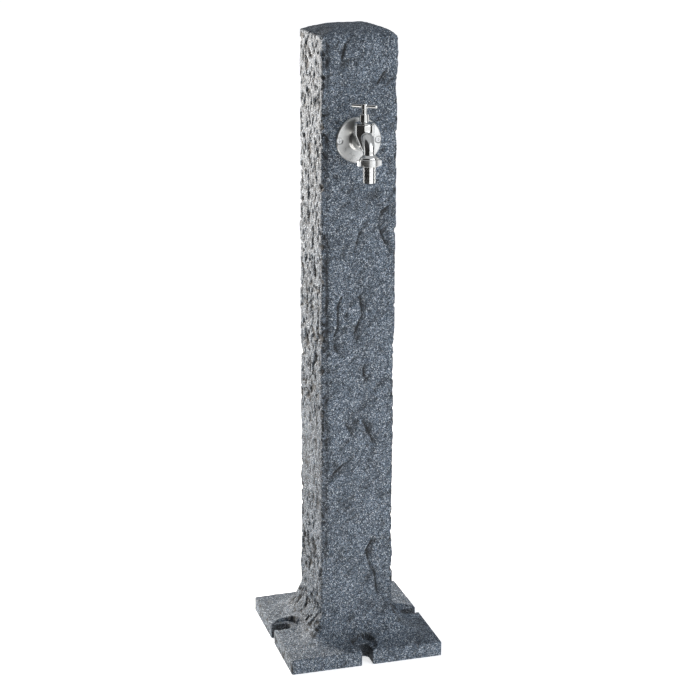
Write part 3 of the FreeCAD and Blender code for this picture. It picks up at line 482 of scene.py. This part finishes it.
def whole_ring(eighths):
    """Eighths mirrored and turned into the ring that starts at the right side's corner."""
    sides = []
    for quarter, (key, track) in enumerate(eighths):
        at = np.arange(ARRIVE[3] + 1)
        half = np.stack([np.interp(at, key, track[:, i]) for i in range(2)], axis=1)
        mirrored = half[::-1][1:-1] * (-1.0, 1.0)
        side = np.vstack([half, mirrored])
        angle = math.pi / 2 * quarter
        outward = np.array([math.cos(angle), math.sin(angle)])
        along = np.array([-math.sin(angle), math.cos(angle)])
        sides.append(side[:, :1] * along + side[:, 1:] * outward)
    return np.vstack(sides)


def wall_ring(half_x, half_y, radius):
    """The ring of partner points on a rounded rectangle's wall."""
    return whole_ring([eighth_wall(half_y, half_x, radius), eighth_wall(half_x, half_y, radius)] * 2)


def ring_outward(ring_points):
    """Each point's outward direction in plan: its two neighbours' step, turned right."""
    step = np.roll(ring_points, -1, axis=0) - np.roll(ring_points, 1, axis=0)
    face = np.stack([step[:, 1], -step[:, 0]], axis=1)
    return face / np.linalg.norm(face, axis=1, keepdims=True)


outline = whole_ring([eighth_outline()] * 4)
print("outline points", len(outline))


# %% [markdown]
# ## The foot's top, sides and underside
#
# The column runs out into the slab with a hollow flare: the height over the slab falls as
# 45 mm times exp(-d / 14.9 mm), where d is the distance from the column's wall. Each slot
# has a round sinking 41 mm across for the anchor's washer. The slab's top edge is rounded,
# its side is upright, and its underside is flat up to the round access opening.

# %% Build the stone foot
FLARE_ROWS = 36
SLAB = 24.0                                 # the slab's thickness
FLARE_RISE = 45.0                           # the flare's height over it at the wall
FLARE_FALL = 14.9                           # the distance in which it falls to 1/e
FLARE_REACH = 64.0                          # about from the wall to the slab's edge
EDGE_ROUND = 3.0
ACCESS = 45.0                               # the access opening's radius


def slab_height(plan):
    """The top's height at points in plan, before the relief, and a painted shade mask that peaks on
    each sinking's wall.
    """
    beyond = np.maximum(np.abs(plan) - (HALF_WIDTH, HALF_DEPTH), 0.0)
    distance = np.linalg.norm(beyond, axis=-1)
    height = SLAB + FLARE_RISE * np.exp(-distance / FLARE_FALL)
    away = [np.hypot(plan[..., 0] - x, plan[..., 1] - y) for x, y in
            ((SLOT_CENTRE, 0), (-SLOT_CENTRE, 0), (0, SLOT_CENTRE), (0, -SLOT_CENTRE))]
    nearest = np.min(away, axis=0)
    washer = 1.0 - smooth(nearest, 19.0, 21.0)
    height = height + 2.4 * np.exp(-((nearest - 22.0) / 7.0) ** 2) * (1.0 - washer) * smooth(
        FOOT - np.max(np.abs(plan), axis=-1), 2.0, 16.0)
    # Painted shade: this peaks on the sinking's wall, where the stone's colour is darkened.
    wall = washer * (1.0 - washer) * 4.0
    return height + (np.minimum(height, 24.2) - height) * washer, wall


def foot_surface():
    """Rings from just inside the column's skin, out, down, under and up its lining."""
    wall = wall_ring(HALF_WIDTH, HALF_DEPTH, 6.0)
    facing = ring_outward(outline)
    shoulder = outline - facing * EDGE_ROUND
    run = np.linspace(0.0, 1.0, 200)
    drop = FLARE_RISE * np.exp(-run * FLARE_REACH / FLARE_FALL)
    steps = np.hypot(np.diff(run) * FLARE_REACH, np.diff(drop))
    walked = np.concatenate([[0.0], np.cumsum(steps)])
    shares = np.interp(np.linspace(0.0, walked[-1], FLARE_ROWS), walked, run)
    rings = [np.column_stack([wall * 0.994, np.full(len(wall), 76.0)]),
             np.column_stack([wall * 0.996, np.full(len(wall), 72.0)])]
    for share in shares:
        plan = wall + (shoulder - wall) * share
        rings.append(np.column_stack([plan, slab_height(plan)[0]]))
    edge, _ = slab_height(shoulder)
    for turn in np.radians([22.5, 45.0, 67.5, 90.0]):
        plan = shoulder + facing * EDGE_ROUND * math.sin(turn)
        rings.append(np.column_stack([plan, edge - EDGE_ROUND + EDGE_ROUND * math.cos(turn)]))
    for share in np.linspace(0.0, 1.0, 10)[1:-1]:
        rings.append(np.column_stack([outline, (edge - EDGE_ROUND) * (1.0 - share) + 0.8 * share]))
    rings.append(np.column_stack([outline, np.full(len(wall), 0.8)]))
    rings.append(np.column_stack([outline - facing * 0.8, np.zeros(len(wall))]))
    visible = len(rings)
    circle = wall / np.linalg.norm(wall, axis=1, keepdims=True) * ACCESS
    for share in (0.25, 0.5, 0.75, 1.0):
        plan = outline - facing * 0.8 + (circle - outline + facing * 0.8) * share
        rings.append(np.column_stack([plan, np.zeros(len(wall))]))
    rings.append(np.column_stack([circle, np.full(len(wall), 4.0)]))
    lining = wall_ring(HALF_WIDTH - WALL, HALF_DEPTH - WALL, LINING_CORNER)
    for height in (4.0, 30.0, 55.0, 76.0):
        rings.append(np.column_stack([lining, np.full(len(wall), height)]))
    return np.array(rings)[::-1], visible


foot, visible = foot_surface()
normal = outward_directions(foot, True)
depth, painted_shade, hewn = relief(foot, normal)
carve = np.arange(len(foot))[:, None] >= len(foot) - visible + 2
# The second value is the painted shade mask of the sinkings' walls.
_, sinking = slab_height(foot[..., :2])
inside_slot = np.min([np.hypot(foot[..., 0] - x, foot[..., 1] - y) for x, y in
                      ((110, 0), (-110, 0), (0, 110), (0, -110))], axis=0) < 26.0
calm = np.where(inside_slot, 0.35, 1.0) * smooth(foot[..., 2], 0.5, 5.0)
side_on = np.abs(normal[..., 2]) < 0.5
at_edge = np.max(np.abs(foot[..., :2]), axis=2) > FOOT - 8.0
depth = np.where(at_edge, np.minimum(0.45 * depth, 0.0) - 0.1, depth * 0.85)
depth = np.where(carve, depth * calm, 0.0)
slot_wall = inside_slot & side_on & (np.max(np.abs(foot[..., :2]), axis=2) < FOOT - 1.5)
# Painted shade on the sinkings' walls, at least 0.75 on the slots' walls, and 0.1 on the underside
# and lining.
painted_shade = np.maximum(painted_shade, sinking * (foot[..., 2] > 23.0))
painted_shade = np.where(slot_wall, np.maximum(painted_shade, 0.75), painted_shade)
painted_shade = np.where(carve, painted_shade, 0.1)
stone = foot + normal * depth[..., None]
foot_faces = grid_faces(len(foot), foot.shape[1], True)
hewn = np.where(carve & (foot[..., 2] > 30.0), hewn, 0.0)
stone_foot = make_mesh("stone_foot", stone.reshape(-1, 3), foot_faces.tolist(),
                       {"shade_paint": painted_shade.ravel(), "hewn": hewn.ravel()}, 70.0)


# %% [markdown]
# ## The tap's casting
#
# The real body is cast and then polished, so its neck, barrel and spout flow into each
# other with no crease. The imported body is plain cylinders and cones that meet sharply. A
# copy of it is cut into even cells and each point is drawn towards its neighbours' middle,
# which fills the inner corners and rounds the edges by about 2 mm, as a casting's are.

# %% Blend the tap body
CAST_CELL = 0.5
CAST_ROUNDS = 36


def cast_copy(name, node):
    """A copy of a node's mesh in even cells, smoothed by repeated averaging."""
    mesh = nodes[node].data.copy()
    tool = bmesh.new()
    tool.from_mesh(mesh)
    bmesh.ops.remove_doubles(tool, verts=tool.verts, dist=0.001 * MM)
    tool.to_mesh(mesh)
    tool.free()
    piece = bpy.data.objects.new(name, mesh)
    bpy.context.scene.collection.objects.link(piece)
    cells = piece.modifiers.new("even_cells", "REMESH")
    cells.mode = "VOXEL"
    cells.voxel_size = CAST_CELL * MM
    blend = piece.modifiers.new("blend", "SMOOTH")
    blend.factor = 0.5
    blend.iterations = CAST_ROUNDS
    finished = piece.evaluated_get(bpy.context.evaluated_depsgraph_get())
    piece.data = bpy.data.meshes.new_from_object(finished)
    piece.modifiers.clear()
    piece.data.polygons.foreach_set("use_smooth", [True] * len(piece.data.polygons))
    print(name, "points", len(piece.data.vertices), "faces", len(piece.data.polygons))
    return piece


tap_casting = cast_copy("tap_casting", "tap_body")
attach(tap_casting, "post")
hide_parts("tap_body")


# %% [markdown]
# ## Colours and nodes
#
# Colours are written as sRGB hex values, as a paint chart gives them. Blender mixes light
# in linear values, so one function converts them. Another adds a node with its settings
# and links, so that a material reads as a list of what feeds what.

# %% Colour and node helpers
def linear(code):
    """An sRGB hex colour as linear red, green, blue and alpha."""
    parts = [int(code[i:i + 2], 16) / 255 for i in (1, 3, 5)]
    return [p / 12.92 if p <= 0.04045 else ((p + 0.055) / 1.055) ** 2.4 for p in parts] + [1.0]


def add(tree, kind, inputs=None, **settings):
    """A node of a kind, its settings, and its inputs as values or other sockets."""
    node = tree.nodes.new("ShaderNode" + kind)
    for name, setting in settings.items():
        setattr(node, name, setting)
    for name, given in (inputs or {}).items():
        socket = node.inputs[name]
        if isinstance(given, bpy.types.NodeSocket):
            tree.links.new(given, socket)
        else:
            socket.default_value = given
    return node


def new_material(name):
    """An empty material with its tree and the Object coordinates."""
    material = bpy.data.materials.new(name)
    material.use_nodes = True
    material.node_tree.nodes.clear()
    tree = material.node_tree
    return material, tree, add(tree, "TexCoord").outputs["Object"]


def finish_material(tree, shader):
    add(tree, "OutputMaterial", {"Surface": shader.outputs["BSDF"]})


def ramp(tree, factor, stops, interpolation="LINEAR"):
    """A colour ramp with its stops as (place, hex colour)."""
    node = add(tree, "ValToRGB", {"Fac": factor})
    node.color_ramp.interpolation = interpolation
    while len(node.color_ramp.elements) < len(stops):
        node.color_ramp.elements.new(0.5)
    for element, (place, code) in zip(node.color_ramp.elements, stops):
        element.position = place
        element.color = linear(code)
    return node.outputs["Color"]


# %% [markdown]
# ## Granite-effect polyethylene
#
# The post is polyethylene powder, mixed from dark, mid and pale grains and melted in a
# turning mould. The grains stay visible as speckles about 1 mm across, and the skin is
# matt and slightly rough. Cells of a Voronoi pattern make the grains: each cell draws one
# random value, and a stepped ramp turns it into one of the powder's colours. Shade is
# painted into the colour in the pits, cracks and sinkings, as much as the mesh marks at
# each point. Where the mesh is marked as hewn, a noise adds pores about 4 mm apart, too
# small for the grid to carry: they are bumps, with painted shade in them.

# %% The stone-look material
def granite_effect_polyethylene():
    material, tree, place = new_material("granite_effect_moulded_polyethylene")
    grain = add(tree, "TexVoronoi", {"Vector": place, "Scale": 1 / (1.2 * MM)})
    draw = add(tree, "SeparateColor", {"Color": grain.outputs["Color"]})
    coarse = ramp(tree, draw.outputs["Red"], [
        (0.0, "#0d1013"), (0.30, "#333d48"), (0.60, "#596674"), (0.82, "#929eac"),
        (0.94, "#e3e9ee")], "CONSTANT")
    speck = add(tree, "TexVoronoi", {"Vector": place, "Scale": 1 / (0.8 * MM)})
    drawn = add(tree, "SeparateColor", {"Color": speck.outputs["Color"]})
    fine = ramp(tree, drawn.outputs["Green"], [
        (0.0, "#14181c"), (0.32, "#46525e"), (0.78, "#828f9d"), (0.92, "#d6dde4")],
        "CONSTANT")
    both = add(tree, "Mix", {"Factor": 0.42, "A": coarse, "B": fine}, data_type="RGBA")
    patch = add(tree, "TexNoise", {"Vector": place, "Scale": 1 / (55 * MM), "Detail": 4.0})
    shade = add(tree, "MapRange", {"Value": patch.outputs["Fac"], "From Min": 0.3,
                                   "From Max": 0.7, "To Min": 0.86, "To Max": 1.12})
    # Painted shade: the mesh's mark darkens the colour, to as little as 0.07 of it.
    shade_paint = add(tree, "Attribute", attribute_name="shade_paint")
    painted_darkening = add(tree, "MapRange", {"Value": shade_paint.outputs["Fac"], "From Min": 0.12,
                                  "From Max": 0.95, "To Min": 1.0, "To Max": 0.07})
    hewn = add(tree, "Attribute", attribute_name="hewn")
    hole = add(tree, "TexNoise", {"Vector": place, "Scale": 1 / (4.2 * MM), "Detail": 1.0})
    pore = add(tree, "MapRange", {"Value": hole.outputs["Fac"], "From Min": 0.58,
                                  "From Max": 0.64, "To Min": 0.0, "To Max": 0.85})
    pored = add(tree, "Math", {0: pore.outputs["Result"], 1: hewn.outputs["Fac"]},
                operation="MULTIPLY")
    # Painted shade in the pores; the same value also sets the bump's height.
    clear = add(tree, "Math", {0: 1.0, 1: pored.outputs[0]}, operation="SUBTRACT")
    painted_dimming = add(tree, "Math", {0: clear.outputs[0], 1: painted_darkening.outputs["Result"]},
                operation="MULTIPLY")
    dim = add(tree, "Math", {0: shade.outputs["Result"], 1: painted_dimming.outputs[0]},
              operation="MULTIPLY")
    colour = add(tree, "VectorMath", {0: both.outputs["Result"], "Scale": dim.outputs[0]},
                 operation="SCALE")
    grit = add(tree, "TexNoise", {"Vector": place, "Scale": 1 / (1.5 * MM), "Detail": 3.0})
    height = add(tree, "Math", {0: clear.outputs[0], 1: grit.outputs["Fac"]}, operation="ADD")
    bump = add(tree, "Bump", {"Strength": 1.0, "Distance": 1.0 * MM,
                              "Height": height.outputs[0]})
    rough = add(tree, "MapRange", {"Value": drawn.outputs["Red"], "To Min": 0.62,
                                   "To Max": 0.9})
    shader = add(tree, "BsdfPrincipled", {
        "Base Color": colour.outputs[0], "Roughness": rough.outputs["Result"],
        "IOR": 1.5, "Normal": bump.outputs["Normal"]})
    finish_material(tree, shader)
    return material


stone = granite_effect_polyethylene()
for piece in (stone_column, stone_foot):
    piece.data.materials.append(stone)
    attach(piece, "post")
    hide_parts("column_shell")


# %% [markdown]
# ## Steel, brass and rubber
#
# The tap is stainless steel, turned and then polished on a wheel, which leaves it nearly a
# mirror with the faintest haze. The wall flange is only satin: fine circular lines from
# the lathe blur what it reflects. The screws are brighter, but not polished. Inside the
# post the fittings are plain machined brass with a hose of black rubber. Nobody sees them
# unless the post is opened, but each still gets the finish it is made with.

# %% Metals
def metal(name, code, low, high, line_mm, bump_mm, turned_about=None):
    """A metal whose roughness and height vary with fine lines or a fine grain.

    Lines from a lathe depend on the distance from the axis alone, so that distance is
    the only thing the noise sees. line_mm is coarser than the real lines, which would be
    too fine to show.
    """
    material, tree, place = new_material(name)
    vector = place
    if turned_about is not None:
        moved = add(tree, "VectorMath", {0: place, 1: turned_about}, operation="SUBTRACT")
        flat = add(tree, "VectorMath", {0: moved.outputs[0], 1: (1.0, 0.0, 1.0)},
                   operation="MULTIPLY")
        reach = add(tree, "VectorMath", {0: flat.outputs[0]}, operation="LENGTH")
        vector = add(tree, "CombineXYZ", {"X": reach.outputs["Value"]}).outputs[0]
    grain = add(tree, "TexNoise", {"Vector": vector, "Scale": 1 / (line_mm * MM),
                                   "Detail": 3.0})
    cloud = add(tree, "TexNoise", {"Vector": place, "Scale": 1 / (9 * MM), "Detail": 2.0})
    both = add(tree, "Math", {0: grain.outputs["Fac"], 1: cloud.outputs["Fac"]},
               operation="ADD")
    rough = add(tree, "MapRange", {"Value": both.outputs[0], "From Min": 0.6,
                                   "From Max": 1.4, "To Min": low, "To Max": high})
    tone = add(tree, "MapRange", {"Value": cloud.outputs["Fac"], "From Min": 0.3,
                                  "From Max": 0.7, "To Min": 0.94, "To Max": 1.04})
    colour = add(tree, "VectorMath", {0: linear(code)[:3], "Scale": tone.outputs["Result"]},
                 operation="SCALE")
    bump = add(tree, "Bump", {"Strength": 0.2, "Distance": bump_mm * MM,
                              "Height": grain.outputs["Fac"]})
    shader = add(tree, "BsdfPrincipled", {
        "Base Color": colour.outputs[0], "Metallic": 1.0,
        "Roughness": rough.outputs["Result"], "Normal": bump.outputs["Normal"]})
    finish_material(tree, shader)
    return material


tap_axis = (TAP[0] * MM, FRONT * MM, TAP[1] * MM)
polished_steel = metal("stainless_steel_wheel_polished", "#dfdfdd", 0.05, 0.11, 0.8, 0.004)
satin_steel = metal("stainless_steel_satin_turned", "#cfcfcd", 0.24, 0.34, 0.6, 0.02, tap_axis)
screw_steel = metal("stainless_steel_cold_headed", "#d2d3d3", 0.14, 0.24, 1.2, 0.01)
machined_brass = metal("brass_machined", "#c9a25a", 0.16, 0.3, 0.5, 0.02)


# %% Rubber, fibre and packing
def plain(name, code, spread, rough, size_mm, bump_mm):
    """A non-metal whose colour and height vary with one noise of a real size."""
    material, tree, place = new_material(name)
    grain = add(tree, "TexNoise", {"Vector": place, "Scale": 1 / (size_mm * MM),
                                   "Detail": 4.0})
    tone = add(tree, "MapRange", {"Value": grain.outputs["Fac"], "From Min": 0.3,
                                  "From Max": 0.7, "To Min": 1 - spread,
                                  "To Max": 1 + spread})
    colour = add(tree, "VectorMath", {0: linear(code)[:3], "Scale": tone.outputs["Result"]},
                 operation="SCALE")
    bump = add(tree, "Bump", {"Strength": 0.4, "Distance": bump_mm * MM,
                              "Height": grain.outputs["Fac"]})
    shader = add(tree, "BsdfPrincipled", {
        "Base Color": colour.outputs[0], "Roughness": rough, "IOR": 1.5,
        "Normal": bump.outputs["Normal"]})
    finish_material(tree, shader)
    return material


seal_rubber = plain("rubber_moulded_black", "#1b1b1c", 0.12, 0.6, 1.5, 0.03)
hose_rubber = plain("rubber_hose_extruded", "#232426", 0.2, 0.55, 1.0, 0.1)
black_fibre = plain("fibre_pressed_black", "#3c3b3a", 0.18, 0.8, 0.6, 0.05)
white_packing = plain("packing_woven_white", "#e6e5df", 0.08, 0.85, 0.8, 0.1)


# %% Give every node its finish
FINISH = {
    "polished_steel": polished_steel, "satin_steel": satin_steel,
    "steel_fastener": screw_steel, "brass": machined_brass, "black_rubber": seal_rubber,
    "fibre": black_fibre, "packing": white_packing, "hose_rubber": hose_rubber,
    "stone_look_plastic": stone,
}
for entry in frame["record"]["subparts"]:
    node = nodes[entry["node"]]
    node.data.materials.clear()
    node.data.materials.append(FINISH[entry["material_slot"]])
tap_casting.data.materials.clear()
tap_casting.data.materials.append(polished_steel)


# %% [markdown]
# ## The studio
#
# A wide pale floor fills the view. The sky is a pale grey, brighter to the right and
# overhead, as from soft boxes, and dark to the left, because polished metal looks like
# metal only when it has something dark to reflect. A small warm lamp stands behind the
# post and to its left and rakes the left side, so that the rough-hewn side shows its pits
# while the front stays soft.

# %% Floor
def floor_disc(radius, count):
    """A flat disc: points at the radius times (cos a, sin a) round a middle."""
    angle = np.linspace(0.0, 2 * math.pi, count, endpoint=False)
    rim = np.stack([np.cos(angle) * radius, np.sin(angle) * radius, np.full(count, -0.0004)],
                   axis=1)
    mesh = bpy.data.meshes.new("studio_floor")
    mesh.from_pydata(rim.tolist(), [], [list(range(count))])
    disc = bpy.data.objects.new("studio_floor", mesh)
    bpy.context.scene.collection.objects.link(disc)
    return disc


floor = floor_disc(90.0, 96)
material, tree, place = new_material("paper_backdrop_matt")
fibre = add(tree, "TexNoise", {"Vector": place, "Scale": 3.0, "Detail": 2.0})
paper = ramp(tree, fibre.outputs["Fac"], [(0.3, "#f4f4f4"), (0.7, "#f7f7f7")])
finish_material(tree, add(tree, "BsdfPrincipled", {
    "Base Color": paper, "Roughness": 0.9, "Emission Color": (1, 1, 1, 1),
    "Emission Strength": 0.62}))
floor.data.materials.append(material)


# %% Sky
def cone(tree, place, heading, rise, reach, inside):
    """A factor that is inside within reach degrees of a direction and 1 beyond it."""
    turn, lift = math.radians(heading), math.radians(rise)
    toward = (math.cos(turn) * math.cos(lift), math.sin(turn) * math.cos(lift), math.sin(lift))
    aligned = add(tree, "VectorMath", {0: place, 1: toward}, operation="DOT_PRODUCT")
    edge = add(tree, "MapRange", {
        "Value": aligned.outputs["Value"], "From Min": math.cos(math.radians(reach + 6.0)),
        "From Max": math.cos(math.radians(reach - 6.0)), "To Min": 1.0, "To Max": inside},
        interpolation_type="SMOOTHSTEP")
    return edge.outputs["Result"]


def studio_sky():
    """A grey sky times one factor for each soft box and each black card."""
    world = bpy.data.worlds.new("studio_sky")
    world.use_nodes = True
    tree = world.node_tree
    tree.nodes.clear()
    place = add(tree, "TexCoord").outputs["Generated"]
    light = SKY
    for heading, rise, reach, inside in SKY_PARTS:
        factor = cone(tree, place, heading, rise, reach, inside)
        light = add(tree, "Math", {0: light, 1: factor}, operation="MULTIPLY").outputs[0]
    back = add(tree, "Background", {"Color": linear("#f8fbff"), "Strength": light})
    white = add(tree, "Background", {"Color": linear("#fbfbfb"), "Strength": 1.0})
    seen = add(tree, "LightPath").outputs["Is Camera Ray"]
    both = add(tree, "MixShader", {"Fac": seen, 1: back.outputs[0], 2: white.outputs[0]})
    add(tree, "OutputWorld", {"Surface": both.outputs[0]})
    bpy.context.scene.world = world


SKY = 0.42
SKY_PARTS = [                               # heading, rise, reach in degrees, and factor
    (-62.0, 12.0, 34.0, 3.6),               # the soft box to the right of the camera
    (-150.0, 5.0, 50.0, 0.12),              # the black card to its left
    (0.0, 90.0, 40.0, 1.3),                 # the soft box overhead
]
studio_sky()


# %% Black cards
def card_wall(name, start, stop, radius, low, high):
    """An upright strip of a circle: radius times (cos a, sin a), a from start to stop.

    Only reflections see it, so it darkens the metal and leaves the stone's light alone.
    """
    angle = np.radians(np.linspace(start, stop, 40))
    plan = np.stack([np.cos(angle) * radius, np.sin(angle) * radius], axis=1)
    points = np.vstack([np.column_stack([plan, np.full(40, low)]),
                        np.column_stack([plan, np.full(40, high)])])
    step = np.arange(39)
    faces = np.stack([step, step + 1, step + 41, step + 40], axis=1)
    mesh = bpy.data.meshes.new(name)
    mesh.from_pydata(points.tolist(), [], faces.tolist())
    card = bpy.data.objects.new(name, mesh)
    bpy.context.scene.collection.objects.link(card)
    card.data.materials.append(black_card)
    card.visible_camera = card.visible_diffuse = card.visible_shadow = False
    return card


black_card, tree, place = new_material("card_matt_black")
weave = add(tree, "TexNoise", {"Vector": place, "Scale": 40.0})
ink = ramp(tree, weave.outputs["Fac"], [(0.3, "#0c0c0d"), (0.7, "#121213")])
finish_material(tree, add(tree, "BsdfPrincipled", {"Base Color": ink, "Roughness": 1.0}))
card_wall("black_card_left", -200.0, -101.0, 1.5, 0.01, 1.15)
card_wall("black_card_right", -34.0, -8.0, 1.5, 0.01, 1.15)


# %% Lamps
def soft_lamp(name, place, aim, size, power, code):
    """A square soft box at a place, turned so that its face looks at aim."""
    lamp = bpy.data.lights.new(name, "AREA")
    lamp.shape = "SQUARE"
    lamp.size = size
    lamp.energy = power
    lamp.color = linear(code)[:3]
    box = bpy.data.objects.new(name, lamp)
    bpy.context.scene.collection.objects.link(box)
    toward = np.array(aim, float) - np.array(place, float)
    box.rotation_mode = "QUATERNION"
    box.rotation_quaternion = Vector(toward).to_track_quat("-Z", "Y")
    box.location = place
    box.visible_camera = False
    return box


soft_lamp("key_lamp", (-0.82, 1.2, 0.78), (0.0, 0.0, 0.7), 0.2, 52.0, "#fff8f0")
soft_lamp("front_fill", (1.7, -2.3, 1.3), (0.0, 0.0, 0.5), 1.2, 30.0, "#f3f7ff")

bpy.context.scene.view_settings.view_transform = "Standard"
bpy.context.scene.view_settings.look = "None"
